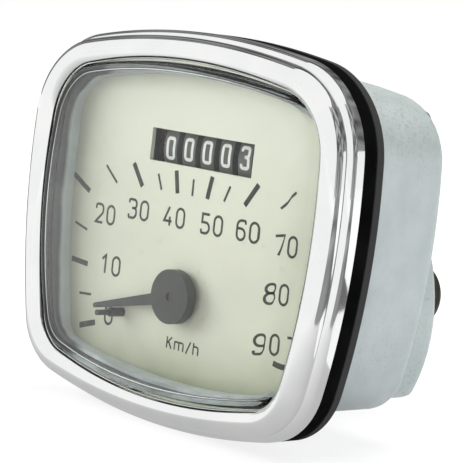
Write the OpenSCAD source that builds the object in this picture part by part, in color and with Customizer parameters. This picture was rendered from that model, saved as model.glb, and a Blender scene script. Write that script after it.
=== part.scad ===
// Scooter speedometer with a rounded four-sided face, needle, odometer and cable drive.
// Millimetres, +Z up, face towards -Y. The frame's origin is on the needle's axis,
// at the middle of the threaded drive neck. Depths below are counted from the dial's face.

/* [Face outline] */
// Half the width of the bezel, at side_z
half_w = 39.6; // [39:0.2:42]
// Top of the bezel above the needle's axis
top_z = 45.5; // [45:0.5:48]
// Bottom of the bezel below the needle's axis
bottom_z = 22.4; // [22:0.2:24]
// Radius of the top edge
top_r = 147; // [130:1:170]
// Radius of the bottom edge
bottom_r = 127; // [115:1:150]
// Radius of each side edge
side_r = 123.4; // [110:0.2:140]
// Height on the side edge where half_w is measured
side_z = 9.5; // [8:0.5:11]
// Lean of the sides, wider at the top, in degrees
side_lean = 4.3; // [3.5:0.1:5]
// Radius of the top corners
corner_top_r = 16.4; // [15.5:0.1:18]
// Radius of the bottom corners
corner_bottom_r = 12.8; // [12.4:0.1:14]

/* [Bezel, glass and gasket] */
// Radius of the bezel's rounded bead
bead_r = 2.3; // [2.1:0.1:2.5]
// Thickness of the bezel's sheet
sheet_t = 0.8; // [0.6:0.1:0.9]
// Height of the glass above the dial, at its middle
glass_h = 9.8; // [9.6:0.1:11]
// Thickness of the glass
glass_t = 1.8; // [1.5:0.1:2]
// Thickness of the panel gasket
gasket_t = 5.8; // [4:0.2:6]

/* [Case] */
// Wall thickness of the case
wall_t = 1.6; // [1.4:0.1:1.6]
// Depth of the case behind the dial
case_depth = 24.2; // [24.2:0.2:25.4]
// Radius of the case's rear edge
case_edge_r = 3; // [2.6:0.2:3.6]
// Radius of the round turret on the rear
turret_r = 30; // [29.6:0.2:31]
// Radius of the turret's rear edge
turret_edge_r = 5; // [4:0.2:5]
// Depth of the turret's rear face behind the dial
turret_depth = 34.4; // [34:0.2:36]
// Radius of the threaded drive neck
neck_r = 6; // [5.6:0.1:6.4]
// Full threaded length of the drive neck
neck_len = 23; // [20:0.5:26]
// Radius of the two fixing studs
stud_r = 2; // [1.8:0.1:2.4]
// Distance between the two fixing studs
stud_gap = 30; // [28:1:32]
// Free length of the fixing studs
stud_len = 14; // [10:1:16]

/* [Needle] */
// Length of the needle from its axis to its tip
needle_len = 21.6; // [18:0.2:21.8]
// Width of the needle at the hub
needle_root_w = 2.1; // [1.8:0.1:2.4]
// Width of the needle at its tip
needle_tip_w = 0.9; // [0.7:0.1:1.2]
// Angle of the needle below the level at rest, in degrees
needle_rest = 14; // [10:0.2:16]
// Radius of the hub cap
hub_r = 4.7; // [4.4:0.1:5]
// Height of the needle stop above the dial
stop_h = 5.8; // [4:0.2:6]

/* [Odometer] */
// Spacing of the number drums
drum_pitch = 4.7; // [4.6:0.05:4.75]
// Radius of the number drums
drum_r = 8.8; // [8.5:0.1:8.9]
// Width of a drum's printed rim
rim_w = 3.3; // [3.2:0.05:3.35]
// Height of the drums' axis above the needle's axis
drum_z = 25.1; // [25:0.1:25.6]
// Height of the window in the dial
window_h = 5.7; // [5:0.1:6.2]
// Width of the window in the dial
window_w = 25.8; // [24:0.2:26.4]

/* [Hidden] */
$fn = 72;
eps = 0.01;
run = 0.05;

// Depths are counted from the dial's face, positive to the rear
case_in = 4.4;
turret_in = case_in + 1.6;
inner_in = case_in + wall_t;
dial_t = 0.8;
dial_in = inner_in + run;
skirt_back = -1.4;
lip_t = 0.4;
flange_back = skirt_back - lip_t;
flange_front = flange_back - 1;
seal_front = flange_front - 0.6;
glass_front = seal_front - 1;
bead_y = glass_front - 0.5;
bead_in = 1.05 + bead_r;
bead_inner = bead_in + bead_r;
glass_in = bead_inner + 0.3;
neck_flange_t = 0.9;
neck_root = turret_depth + 3.5;
origin_y = neck_root + neck_len / 2;
floor_y = case_depth - wall_t;
turret_floor = turret_depth - wall_t;

// The face outline is eight tangent arcs: [centre x, centre z, radius, from, to]
function far_meet(p, rp, q, rq) =
    let (v = q - p, d = norm(v), u = v / d)
    let (a = (rp * rp - rq * rq + d * d) / (2 * d), h = sqrt(rp * rp - a * a))
    let (m = p + a * u, w = [-u[1], u[0]] * h)
    (m + w)[0] > (m - w)[0] ? m + w : m - w;
function bearing(p, q) = atan2(q[1] - p[1], q[0] - p[0]);
arc_t = [0, top_z - top_r];
arc_b = [0, bottom_r - bottom_z];
arc_s = [half_w - side_r * cos(side_lean), side_z + side_r * sin(side_lean)];
knee_t = far_meet(arc_t, top_r - corner_top_r, arc_s, side_r - corner_top_r);
knee_b = far_meet(arc_b, bottom_r - corner_bottom_r, arc_s, side_r - corner_bottom_r);
turn_t = bearing(arc_t, knee_t);
turn_st = bearing(arc_s, knee_t);
turn_sb = bearing(arc_s, knee_b);
turn_b = bearing(arc_b, knee_b);
arcs = [
    [0, arc_b[1], bottom_r, -180 - turn_b, turn_b],
    [knee_b[0], knee_b[1], corner_bottom_r, turn_b, turn_sb],
    [arc_s[0], arc_s[1], side_r, turn_sb, turn_st],
    [knee_t[0], knee_t[1], corner_top_r, turn_st, turn_t],
    [0, arc_t[1], top_r, turn_t, 180 - turn_t],
    [-knee_t[0], knee_t[1], corner_top_r, 180 - turn_t, 180 - turn_st],
    [-arc_s[0], arc_s[1], side_r, 180 - turn_st, 180 - turn_sb],
    [-knee_b[0], knee_b[1], corner_bottom_r, 180 - turn_sb, 180 - turn_b]
];
arc_steps = 9;
function outline(inset) = [
    for (a = arcs)
        for (i = [0 : arc_steps - 1])
            let (t = a[3] + (a[4] - a[3]) * i / arc_steps)
            [a[0] + (a[2] - inset) * cos(t), a[1] + (a[2] - inset) * sin(t)]
];

// One loop of points, from an inset and a depth
function loop_at(p) = [for (q = outline(p[0])) [q[0], p[1], q[1]]];
function arc_points(inset, y, r, from, to, steps) = [
    for (i = [0 : steps])
        let (t = from + (to - from) * i / steps)
        [inset + r * cos(t), y - r * sin(t)]
];

// The case's cross-section, from the middle of its rear round the flange to its floor
case_bend = case_depth - case_edge_r;
case_loops = [for (p = concat(
    arc_points(case_in + case_edge_r, case_bend, case_edge_r, 270, 180, 6),
    [
        [case_in, flange_back],
        [1, flange_back],
        [1, flange_front],
        [inner_in, flange_front],
        [inner_in, dial_t],
        [inner_in + 2, dial_t],
        [inner_in + 2, dial_t + 1.6],
        [inner_in, dial_t + 1.6]
    ],
    arc_points(case_in + case_edge_r, case_bend, case_edge_r - wall_t, 180, 270, 5)
)) loop_at(p)];

// The bezel's cross-section, over the bead from the inside and back under it
shoulder_r = 1.5;
shoulder_y = skirt_back - shoulder_r;
bezel_loops = [for (p = concat(
    [[bead_inner, glass_front]],
    arc_points(bead_in, bead_y, bead_r, 0, 180, 12),
    arc_points(shoulder_r, shoulder_y, shoulder_r, acos((1.05 - shoulder_r) / shoulder_r), 180, 4),
    [
        [0, skirt_back],
        [3.2, skirt_back],
        [3.2, flange_back],
        [sheet_t, flange_back]
    ],
    arc_points(shoulder_r, shoulder_y, shoulder_r - sheet_t, 180, 90, 2),
    [[1.05 + sheet_t, shoulder_y - shoulder_r + sheet_t]],
    arc_points(bead_in, bead_y, bead_r - sheet_t, 180, 0, 8),
    [[bead_inner - sheet_t, glass_front]]
)) loop_at(p)];

// The glass: a domed pane with a straight side and a flange
glass_mid = (top_z - bottom_z) / 2;
glass_edge = 6.3;
dome_r = 36 * 36 / (2 * (glass_h - glass_edge));
dome_steps = [0.06, 0.2, 0.4, 0.6, 0.8, 0.93, 1];
function dome(inset, shrink, back) = [
    for (p = outline(inset))
        let (x = p[0] * shrink, z = (p[1] - glass_mid) * shrink)
        [x, back - glass_h + (x * x + z * z) / (2 * dome_r), z + glass_mid]
];
glass_loops = concat(
    [for (s = dome_steps) dome(glass_in, s, s == 1 ? 0.35 : 0)],
    [for (p = [
        [glass_in, glass_front],
        [2.6, glass_front],
        [2.6, seal_front],
        [glass_in + glass_t, seal_front]
    ]) loop_at(p)],
    [for (i = [0 : 6]) dome(glass_in + glass_t, dome_steps[6 - i], glass_t)]
);

// Gear train: spindle worm, cross shaft, upright shaft, first drum
gear_m = 0.5;
fine_m = 0.32;
mesh = 0.1;
wheel_a_n = 20;
wheel_b_n = 20;
wheel_c_n = 25;
wheel_a_r = gear_m * wheel_a_n / 2;
wheel_b_r = gear_m * wheel_b_n / 2;
wheel_c_r = fine_m * wheel_c_n / 2;
worm_a_r = 2.9;
worm_b_r = 2;
worm_c_r = 2.05;
spindle_r = 2;
shaft_r = 1;
drum_y = drum_r + 1.2;
upright_x = 17.5;
upright_y = drum_y + worm_c_r + wheel_c_r + mesh;
cross_y = upright_y + worm_b_r + wheel_b_r + mesh;
cross_z = worm_a_r + wheel_a_r + mesh;

// Odometer
drum_x = 1;
axle_r = 1.5;
window_x = 0.7;
drum_gear_r = 7;
drum_gear_n = 20;
pinion_r = 2.8;
pinion_n = 8;
pinion_gap = drum_gear_r + pinion_r + 0.15;
pinion_a = 65;
pinion_y = drum_y + pinion_gap * cos(pinion_a);
pinion_z = drum_z + pinion_gap * sin(pinion_a);
pinion_axle_r = 0.8;
side_l = -13.4;
side_t = 1;
side_rt = 20.4;
web_t = 1;
web_gap = 0.1;
web_y = floor_y - web_gap - web_t;
odo_front = 3;
odo_low = drum_z - 8.5;
odo_high = drum_z + 11;
arm_low = drum_z + 4.3;
arm_high = drum_z + 5.5;
arm_x = 14.2;
tap_r = 0.8;
function drum_at(i) = drum_x + (3 - i) * drum_pitch;

// Movement
plate_y = 16.2;
plate_t = 1.2;
plate_back = plate_y + plate_t;
plate_r = 19;
bridge_y = 5.6;
bridge_t = 1;
pillar_x = 15.6;
pillar_r = 1.6;
staff_r = 0.5;
cup_y = 8;
cup_r = 11.5;
cup_t = 0.4;
cup_end = 13.2;
magnet_r = 10.3;
magnet_y = 9.4;
field_r = 13.2;
field_t = 1;
field_y = 13.9;
post_at = [[-14.3, 8.2], [-14.3, -8.2], [14.3, -8.2]];
post_r = 2.6;
screw_r = 1.5;
screw_head_t = 1.1;
tab_at = [-8.5, 6.2];
tab_z = 11.8;
lug_t = 1.2;
lug_x = 10.2;
lug_end = upright_x + 5.2;
lug_y = cross_y + 1.5;
shelf_z = 3.2;
shelf_t = 1.8;
shelf_x = 14;
plate_top = 13.8;
plate_low = -12;
notch_x = 12;
notch_z = 2.6;
lug_half = 2.3;
lug_left = -4.6;

// Needle, stop and hairspring
blade_y = -1.9;
blade_t = 0.7;
cap_front = -2.95;
cap_back = -1.05;
stop_r = 0.8;
stop_tip_r = 0.5;
stop_reach = 16;
needle_w_at_stop = needle_root_w
    + (needle_tip_w - needle_root_w) * (stop_reach - hub_r) / (needle_len - hub_r);
stop_turn = asin((needle_w_at_stop / 2 + stop_r + 0.15) / stop_reach);
stop_x = -stop_reach * cos(needle_rest + stop_turn);
stop_z = -stop_reach * sin(needle_rest + stop_turn);
spring_y = 3.2;
spring_w = 0.8;
spring_t = 0.16;
spring_in = 1.5;
spring_out = 5.6;
spring_turns = 5;
spring_steps = 24;
spring_pin_r = 0.6;
spring_pin_x = spring_out + spring_t + spring_pin_r;

// Fixing studs: a head let into the case's floor, a thicker shank, then the free thread
stud_z = 34;
stud_head_t = 1.2;
stud_head_r = stud_r + 1.5;
stud_shank_r = stud_r + 0.5;
stud_tip = 0.5;
pad_r = stud_r + 2;
pad_h = 1.5;
pad_back = case_depth + pad_h;

// Lamp: its glass starts clear of the screw heads on the plate
lamp_x = -18.5;
lamp_z = -0.5;
lamp_r = 5;
lamp_flange_t = 1.6;
lamp_back = turret_depth + 6;
lamp_bore = 1.2;
bulb_neck_r = 3.4;
bulb_r = 3.5;
bulb_clear = 0.5;
bulb_y = plate_back + screw_head_t + bulb_clear + bulb_r;
bulb_back = turret_depth - 2.5;

zinc = [0.70, 0.74, 0.75];
chrome = [0.86, 0.87, 0.88];
black = [0.06, 0.06, 0.06];
ivory = [0.84, 0.84, 0.76];
clear = [0.80, 0.88, 0.88, 0.35];
brass = [0.72, 0.56, 0.28];
steel = [0.60, 0.61, 0.63];
bronze = [0.25, 0.21, 0.17];
grey = [0.28, 0.28, 0.27];
light = [0.82, 0.83, 0.84];

// Moves dial depths into the part's frame
module seat() {
    translate([0, -origin_y, 0])
        children();
}

module rod_y(x, z, y0, y1, r) {
    translate([x, y0, z])
        rotate([-90, 0, 0])
            cylinder(h = y1 - y0, r = r);
}

module cone_y(x, z, y0, y1, r0, r1) {
    translate([x, y0, z])
        rotate([-90, 0, 0])
            cylinder(h = y1 - y0, r1 = r0, r2 = r1);
}

module rod_x(y, z, x0, x1, r) {
    translate([x0, y, z])
        rotate([0, 90, 0])
            cylinder(h = x1 - x0, r = r);
}

module rod_z(x, y, z0, z1, r) {
    translate([x, y, z0])
        cylinder(h = z1 - z0, r = r);
}

module box(x0, x1, y0, y1, z0, z1) {
    translate([x0, y0, z0])
        cube([x1 - x0, y1 - y0, z1 - z0]);
}

// A flat plate with the face outline
module slab(inset, y0, y1) {
    translate([0, y1, 0])
        rotate([90, 0, 0])
            linear_extrude(height = y1 - y0)
                polygon(outline(inset));
}

// A solid skinned over loops of points: a closed ring, or a cup with two flat ends
module skin(loops, closed, flip) {
    n = len(loops[0]);
    m = len(loops);
    walls = [
        for (i = [0 : closed ? m - 1 : m - 2])
            for (j = [0 : n - 1])
                let (a = i * n + j, b = ((i + 1) % m) * n + j)
                let (c = i * n + (j + 1) % n, d = ((i + 1) % m) * n + (j + 1) % n)
                each flip ? [[a, b, c], [b, d, c]] : [[a, c, b], [b, c, d]]
    ];
    up = [for (j = [0 : n - 1]) j];
    down = [for (j = [0 : n - 1]) n - 1 - j];
    last = (m - 1) * n;
    ends = closed ? [] : [flip ? up : down, [for (j = flip ? down : up) last + j]];
    polyhedron(points = [for (l = loops) each l], faces = concat(walls, ends));
}

// A flat ring with the face outline
module frame_ring(in0, in1, y0, y1) {
    difference() {
        slab(in0, y0, y1);
        slab(in1, y0 - 1, y1 + 1);
    }
}

module wheel_shape(n, r, top, root, half_top, half_root) {
    union() {
        circle(r = root);
        for (i = [0 : n - 1])
            rotate(i * 360 / n)
                polygon([
                    [root - 0.3, -half_root],
                    [r + top, -half_top],
                    [r + top, half_top],
                    [root - 0.3, half_root]
                ]);
    }
}

module worm_wheel(n, m, width, bore) {
    r = m * n / 2;
    translate([0, 0, -width / 2])
        linear_extrude(height = width)
            difference() {
                wheel_shape(n, r, 0.7 * m, r - 1.2 * m, 0.24 * m, 0.9 * m);
                circle(r = bore);
            }
}

// A worm whose groove faces the direction "at" at half its length
module worm(r, m, length, bore, at) {
    turns = length / (PI * m);
    difference() {
        rotate([0, 0, at + 180 - 360 * turns / 2])
            translate([0, 0, -length / 2])
                linear_extrude(height = length, twist = -360 * turns, slices = round(turns * 12), $fn = 16)
                    translate([0.9 * m, 0])
                        circle(r = r, $fn = 16);
        translate([0, 0, -length / 2 - 1])
            cylinder(h = length + 2, r = bore);
    }
}

// Case and face

// The turret: round, cut flat along the case's sides and bottom, with its rear edge rounded
module turret_form(r, inset, y0, y1, edge) {
    intersection() {
        hull()
            for (t = [0:18:90])
                rod_y(0, 0, y0, y1 - edge + edge * sin(t), r - edge + edge * cos(t));
        hull()
            for (t = [0:18:90])
                slab(inset + edge - edge * cos(t), y0 - 1, y1 - edge + edge * sin(t));
    }
}

module housing() {
    color(zinc)
        seat()
            difference() {
                union() {
                    difference() {
                        skin(case_loops, false, true);
                        intersection() {
                            rod_y(0, 0, floor_y - 1, case_depth + 1, turret_r - wall_t);
                            slab(turret_in + wall_t, floor_y - 2, case_depth + 2);
                        }
                    }
                    difference() {
                        turret_form(turret_r, turret_in, floor_y, turret_depth, turret_edge_r);
                        turret_form(turret_r - wall_t, turret_in + wall_t, floor_y - 2, turret_floor,
                            turret_edge_r - wall_t);
                    }
                    for (p = post_at)
                        rod_y(p[0], p[1], plate_back, turret_floor + 0.2, post_r);
                    for (s = [-1, 1])
                        rod_y(s * stud_gap / 2, stud_z, floor_y + 0.2, pad_back, pad_r);
                }
                rod_y(0, 0, turret_floor - 1, turret_depth + 1, neck_r + 1);
                rod_y(lamp_x, lamp_z, turret_floor - 1, turret_depth + 1, lamp_r);
                for (p = post_at)
                    rod_y(p[0], p[1], plate_back - 1, plate_back + 8, screw_r);
                for (s = [-1, 1]) {
                    rod_y(s * stud_gap / 2, stud_z, floor_y - 1, pad_back + 1, stud_shank_r);
                    rod_y(s * stud_gap / 2, stud_z, floor_y - 1, floor_y + stud_head_t, stud_head_r);
                }
            }
}

module bezel() {
    color(chrome)
        seat()
            skin(bezel_loops, true, false);
}

module panel_gasket() {
    color(black)
        seat()
            skin([
                loop_at([0, skirt_back]),
                loop_at([0, skirt_back + gasket_t - 1.2]),
                loop_at([1.2, skirt_back + gasket_t]),
                loop_at([case_in - run, skirt_back + gasket_t]),
                loop_at([case_in - run, skirt_back])
            ], true, false);
}

module glass() {
    color(clear)
        seat()
            skin(glass_loops, false, false);
}

module glass_seal() {
    color(black)
        seat()
            frame_ring(2.6, inner_in, seal_front, flange_front);
}

module spacer_ring() {
    color(grey)
        seat()
            frame_ring(dial_in, dial_in + 1.55, seal_front, 0);
}

module dial_plate() {
    color(ivory)
        seat()
            difference() {
                slab(dial_in, 0, dial_t);
                box(window_x - window_w / 2, window_x + window_w / 2, -1, 2,
                    drum_z - window_h / 2, drum_z + window_h / 2);
                rod_y(0, 0, -1, 2, 1.6);
                rod_y(stop_x, stop_z, -1, 2, stop_tip_r);
            }
}

module needle_stop() {
    color(grey)
        seat()
            union() {
                rod_y(stop_x, stop_z, -stop_h, dial_t, stop_tip_r);
                rod_y(stop_x, stop_z, -stop_h / 2, 0, stop_r);
            }
}

// Rear fittings

module drive_neck() {
    color(bronze)
        seat()
            difference() {
                union() {
                    rod_y(0, 0, turret_floor - neck_flange_t, turret_floor, neck_r + 3);
                    rod_y(0, 0, turret_floor - eps, neck_root, neck_r + 1);
                    rod_y(0, 0, neck_root - eps, neck_root + neck_len, neck_r);
                    cone_y(0, 0, neck_root + neck_len, neck_root + neck_len + 1, neck_r, neck_r - 0.9);
                }
                rod_y(0, 0, turret_floor - 3, neck_root + neck_len + 3, 3.2);
            }
}

module neck_nut() {
    color(bronze)
        seat()
            difference() {
                translate([0, turret_depth, 0])
                    rotate([-90, 0, 0])
                        cylinder(h = 3.2, r = (neck_r + 4) / cos(30), $fn = 6);
                rod_y(0, 0, turret_depth - 1, neck_root + 1, neck_r + 1);
            }
}

module neck_bush() {
    color(brass)
        seat()
            difference() {
                rod_y(0, 0, neck_root + 1.5, neck_root + neck_len - 3, 3.2);
                rod_y(0, 0, neck_root, neck_root + neck_len, spindle_r + run);
            }
}

module stud(side) {
    color(steel)
        seat()
            union() {
                rod_y(side * stud_gap / 2, stud_z, floor_y, floor_y + stud_head_t, stud_head_r);
                rod_y(side * stud_gap / 2, stud_z, floor_y, pad_back, stud_shank_r);
                rod_y(side * stud_gap / 2, stud_z, pad_back - eps, pad_back + stud_len - stud_tip, stud_r);
                cone_y(side * stud_gap / 2, stud_z, pad_back + stud_len - stud_tip, pad_back + stud_len,
                    stud_r, stud_r - stud_tip);
            }
}

module stud_left() {
    stud(-1);
}

module stud_right() {
    stud(1);
}

module lamp_holder() {
    color(black)
        seat()
            difference() {
                union() {
                    rod_y(lamp_x, lamp_z, turret_depth - 9, turret_depth, lamp_r);
                    rod_y(lamp_x, lamp_z, turret_depth, turret_depth + lamp_flange_t, lamp_r + 1.2);
                    cone_y(lamp_x, lamp_z, turret_depth + lamp_flange_t - eps, lamp_back, 4.4, 3.6);
                }
                rod_y(lamp_x, lamp_z, turret_depth - 10, bulb_back, bulb_neck_r + 0.2);
                rod_y(lamp_x, lamp_z, bulb_back - 0.5, lamp_back + 1, lamp_bore);
            }
}

module lamp_bulb() {
    color(clear)
        seat()
            union() {
                rod_y(lamp_x, lamp_z, bulb_y + 1.5, bulb_back, bulb_neck_r);
                translate([lamp_x, bulb_y, lamp_z])
                    sphere(r = bulb_r);
            }
}

module lamp_contact() {
    color(brass)
        seat()
            union() {
                rod_y(lamp_x, lamp_z, bulb_back, lamp_back + 0.4, lamp_bore);
                rod_y(lamp_x, lamp_z, lamp_back, lamp_back + 0.8, 2.4);
                box(lamp_x - 0.4, lamp_x + 0.4, lamp_back + 0.7, lamp_back + 5, lamp_z - 1.6, lamp_z + 1.6);
            }
}

// Movement frame

module movement_frame() {
    color(zinc)
        seat()
            difference() {
                union() {
                    difference() {
                        rod_y(0, 0, plate_y, plate_back, plate_r);
                        box(-plate_r - 1, plate_r + 1, plate_y - 1, plate_back + 1, plate_top, plate_r + 1);
                        box(-plate_r - 1, plate_r + 1, plate_y - 1, plate_back + 1,
                            -plate_r - 1, plate_low);
                        box(notch_x, plate_r + 1, plate_y - 1, plate_back + 1, notch_z, plate_r + 1);
                    }
                    for (x = tab_at)
                        rod_y(x, tab_z, plate_back - eps, web_y, 1.9);
                    box(lug_left, lug_left + lug_t, plate_back - eps, lug_y,
                        cross_z - lug_half, cross_z + lug_half);
                    box(lug_x, lug_x + lug_t, plate_back - eps, lug_y, shelf_z, cross_z + lug_half);
                    box(lug_end, lug_end + lug_t, cross_y - 2.5, lug_y, shelf_z, cross_z + lug_half);
                    box(lug_x, lug_end + lug_t, plate_back - eps, lug_y, shelf_z, shelf_z + shelf_t);
                    box(shelf_x, lug_end + lug_t, upright_y - 2.5, plate_back, shelf_z, shelf_z + shelf_t);
                }
                rod_y(0, 0, plate_y - 1, plate_back + 1, spindle_r + run);
                for (p = post_at)
                    rod_y(p[0], p[1], plate_y - 1, plate_back + 1, screw_r);
                for (s = [-1, 1])
                    rod_y(s * pillar_x, 0, plate_y - 1, plate_back + 1, tap_r);
                for (x = tab_at)
                    rod_y(x, tab_z, web_y - 2.6, web_y + 1, tap_r);
                rod_x(cross_y, cross_z, lug_left - 1, lug_end + lug_t + 1, shaft_r + run);
                rod_z(upright_x, upright_y, shelf_z - 1, shelf_z + shelf_t + 1, shaft_r + run);
            }
}

module front_bridge() {
    color(steel)
        seat()
            difference() {
                union() {
                    box(-pillar_x - 2, pillar_x + 2, bridge_y, bridge_y + bridge_t, -2.2, 2.2);
                    rod_y(0, 0, bridge_y, bridge_y + bridge_t, 7.2);
                    for (s = [-1, 1])
                        rod_y(s * pillar_x, 0, bridge_y + bridge_t - eps, plate_y, pillar_r);
                }
                rod_y(0, 0, bridge_y - 1, bridge_y + bridge_t + 1, staff_r + run);
                for (s = [-1, 1])
                    rod_y(s * pillar_x, 0, plate_y - 4, plate_y + 1, tap_r);
                rod_y(spring_pin_x, 0, bridge_y - 1, bridge_y + bridge_t + 1, spring_pin_r);
            }
}

module bridge_screw(side) {
    color(brass)
        seat()
            union() {
                rod_y(side * pillar_x, 0, plate_y - 4, plate_back + eps, tap_r);
                rod_y(side * pillar_x, 0, plate_back, plate_back + screw_head_t, 1.6);
            }
}

module bridge_screw_left() {
    bridge_screw(-1);
}

module bridge_screw_right() {
    bridge_screw(1);
}

module frame_screw(p) {
    color(brass)
        seat()
            difference() {
                union() {
                    rod_y(p[0], p[1], plate_y - 1.4, plate_y, 2.6);
                    rod_y(p[0], p[1], plate_y - eps, plate_back + 8, screw_r);
                }
                box(p[0] - 0.4, p[0] + 0.4, plate_y - 2, plate_y - 0.8, p[1] - 4, p[1] + 4);
            }
}

module frame_screw_upper() {
    frame_screw(post_at[0]);
}

module frame_screw_lower() {
    frame_screw(post_at[1]);
}

module frame_screw_right() {
    frame_screw(post_at[2]);
}

// Odometer

module odometer_frame() {
    color(steel)
        seat()
            difference() {
                union() {
                    box(side_l, side_l + side_t, odo_front, web_y + web_t, odo_low, odo_high);
                    box(side_rt, side_rt + side_t, odo_front, web_y + web_t, odo_low, odo_high);
                    box(side_l, side_rt + side_t, web_y, web_y + web_t, odo_low, odo_high);
                    for (x = tab_at)
                        box(x - 2.5, x + 2.5, web_y, web_y + web_t, tab_z - 2.4, odo_low + 0.4);
                    box(arm_x, side_rt + side_t, upright_y - 2.6, web_y + eps, arm_low, arm_high);
                }
                rod_x(drum_y, drum_z, side_l - 1, side_rt + side_t + 1, axle_r);
                rod_x(pinion_y, pinion_z, side_l - 1, side_rt + side_t + 1, pinion_axle_r);
                rod_z(upright_x, upright_y, arm_low - 1, arm_high + 1, shaft_r + run);
                for (x = tab_at)
                    rod_y(x, tab_z, web_y - 1, web_y + 3, tap_r);
            }
}

module odometer_screw(x) {
    color(brass)
        seat()
            union() {
                rod_y(x, tab_z, web_y - 2.6, web_y + web_t + eps, tap_r);
                rod_y(x, tab_z, web_y + web_t, web_y + web_t + screw_head_t, 1.7);
            }
}

module odometer_screw_left() {
    odometer_screw(tab_at[0]);
}

module odometer_screw_right() {
    odometer_screw(tab_at[1]);
}

module odometer_axle() {
    color(steel)
        seat()
            rod_x(drum_y, drum_z, side_l - 0.6, side_rt + side_t + 0.6, axle_r);
}

module pinion_axle() {
    color(steel)
        seat()
            rod_x(pinion_y, pinion_z, side_l - 0.6, side_rt + side_t + 0.6, pinion_axle_r);
}

module axle_spacer() {
    color(brass)
        seat()
            difference() {
                rod_x(drum_y, drum_z, side_l + side_t, drum_at(5) - rim_w / 2 - 0.2, 6.4);
                rod_x(drum_y, drum_z, side_l, drum_at(5), axle_r);
            }
}

module drum(i) {
    x = drum_at(i);
    color(grey)
        seat()
            difference() {
                union() {
                    rod_x(drum_y, drum_z, x - rim_w / 2, x + rim_w / 2, drum_r);
                    if (i > 1)
                        translate([x + rim_w / 2 - eps, drum_y, drum_z])
                            rotate([0, 90, 0])
                                rotate([0, 0, 90 + pinion_a + 180 / drum_gear_n])
                                    linear_extrude(height = 1.2)
                                        wheel_shape(drum_gear_n, drum_gear_r, 0.5,
                                            drum_gear_r - 0.9, 0.2, 0.5);
                }
                rod_x(drum_y, drum_z, x - 5, x + 5, axle_r + run);
            }
}

module drum_1() {
    drum(1);
}

module drum_2() {
    drum(2);
}

module drum_3() {
    drum(3);
}

module drum_4() {
    drum(4);
}

module drum_5() {
    drum(5);
}

module drum_wheel() {
    color(brass)
        seat()
            difference() {
                union() {
                    translate([upright_x, drum_y, drum_z])
                        rotate([0, 90, 0])
                            rotate([0, 0, 90])
                                worm_wheel(wheel_c_n, fine_m, 1.6, axle_r + run);
                    rod_x(drum_y, drum_z, drum_at(1) + rim_w / 2, upright_x, 2.6);
                }
                rod_x(drum_y, drum_z, 0, 40, axle_r + run);
            }
}

module pinion(i) {
    x = drum_at(i + 1) + rim_w / 2 + 0.2;
    color(brass)
        seat()
            translate([x, pinion_y, pinion_z])
                rotate([0, 90, 0])
                    rotate([0, 0, 270 + pinion_a])
                        linear_extrude(height = 1)
                            difference() {
                                wheel_shape(pinion_n, pinion_r, 0.5, pinion_r - 0.9, 0.2, 0.5);
                                circle(r = pinion_axle_r + run);
                            }
}

module pinion_1() {
    pinion(1);
}

module pinion_2() {
    pinion(2);
}

module pinion_3() {
    pinion(3);
}

module pinion_4() {
    pinion(4);
}

// Needle and speed cup

module needle_turn() {
    rotate([0, -needle_rest, 0])
        children();
}

module needle() {
    color(grey)
        seat()
            needle_turn()
                difference() {
                    union() {
                        translate([0, blade_y + blade_t, 0])
                            rotate([90, 0, 0])
                                linear_extrude(height = blade_t)
                                    union() {
                                        polygon([
                                            [0, -needle_root_w / 2],
                                            [0, needle_root_w / 2],
                                            [-hub_r, needle_root_w / 2],
                                            [-needle_len + needle_tip_w / 2, needle_tip_w / 2],
                                            [-needle_len + needle_tip_w / 2, -needle_tip_w / 2],
                                            [-hub_r, -needle_root_w / 2]
                                        ]);
                                        translate([-needle_len + needle_tip_w / 2, 0])
                                            circle(r = needle_tip_w / 2);
                                        circle(r = 3.4);
                                    }
                        rod_y(0, 0, blade_y + blade_t - eps, -0.4, 1.3);
                    }
                    rod_y(0, 0, -3, 1, staff_r);
                }
}

module hub_cap() {
    color(grey)
        seat()
            needle_turn()
                difference() {
                    rod_y(0, 0, cap_front, cap_back, hub_r);
                    rod_y(0, 0, blade_y, cap_back + 1, hub_r - 0.8);
                    box(-hub_r - 1, 0, blade_y, cap_back + 1,
                        -needle_root_w / 2 - 0.1, needle_root_w / 2 + 0.1);
                    rod_y(0, 0, cap_front - 1, cap_front + 0.25, 0.7);
                }
}

module needle_staff() {
    color(steel)
        seat()
            rod_y(0, 0, blade_y, magnet_y + 1.4, staff_r);
}

module drag_cup() {
    color(light)
        seat()
            difference() {
                union() {
                    rod_y(0, 0, cup_y, cup_end, cup_r);
                    rod_y(0, 0, cup_y - 0.8, cup_y + eps, 1.5);
                }
                rod_y(0, 0, cup_y + cup_t, cup_end + 1, cup_r - cup_t);
                rod_y(0, 0, cup_y - 2, cup_y + 2, staff_r);
            }
}

module hairspring_collet() {
    color(brass)
        seat()
            difference() {
                rod_y(0, 0, spring_y - 0.2, spring_y + spring_w + 0.2, spring_in);
                rod_y(0, 0, spring_y - 1, spring_y + 3, staff_r);
            }
}

function coil_r(t, side) = spring_in + (spring_out - spring_in) * t + (1 + side) * spring_t / 2;
function coil_at(t, side) =
    coil_r(t, side) * [cos(360 * spring_turns * t), sin(360 * spring_turns * t)];

module hairspring() {
    steps = spring_turns * spring_steps;
    color(brass)
        seat()
            translate([0, spring_y + spring_w, 0])
                rotate([90, 0, 0])
                    linear_extrude(height = spring_w)
                        polygon(concat(
                            [for (i = [0 : steps]) coil_at(i / steps, 1)],
                            [for (i = [0 : steps]) coil_at(1 - i / steps, -1)]
                        ));
}

module hairspring_stud() {
    color(steel)
        seat()
            rod_y(spring_pin_x, 0, spring_y - 0.4, bridge_y + bridge_t, spring_pin_r);
}

// Drive

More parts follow.
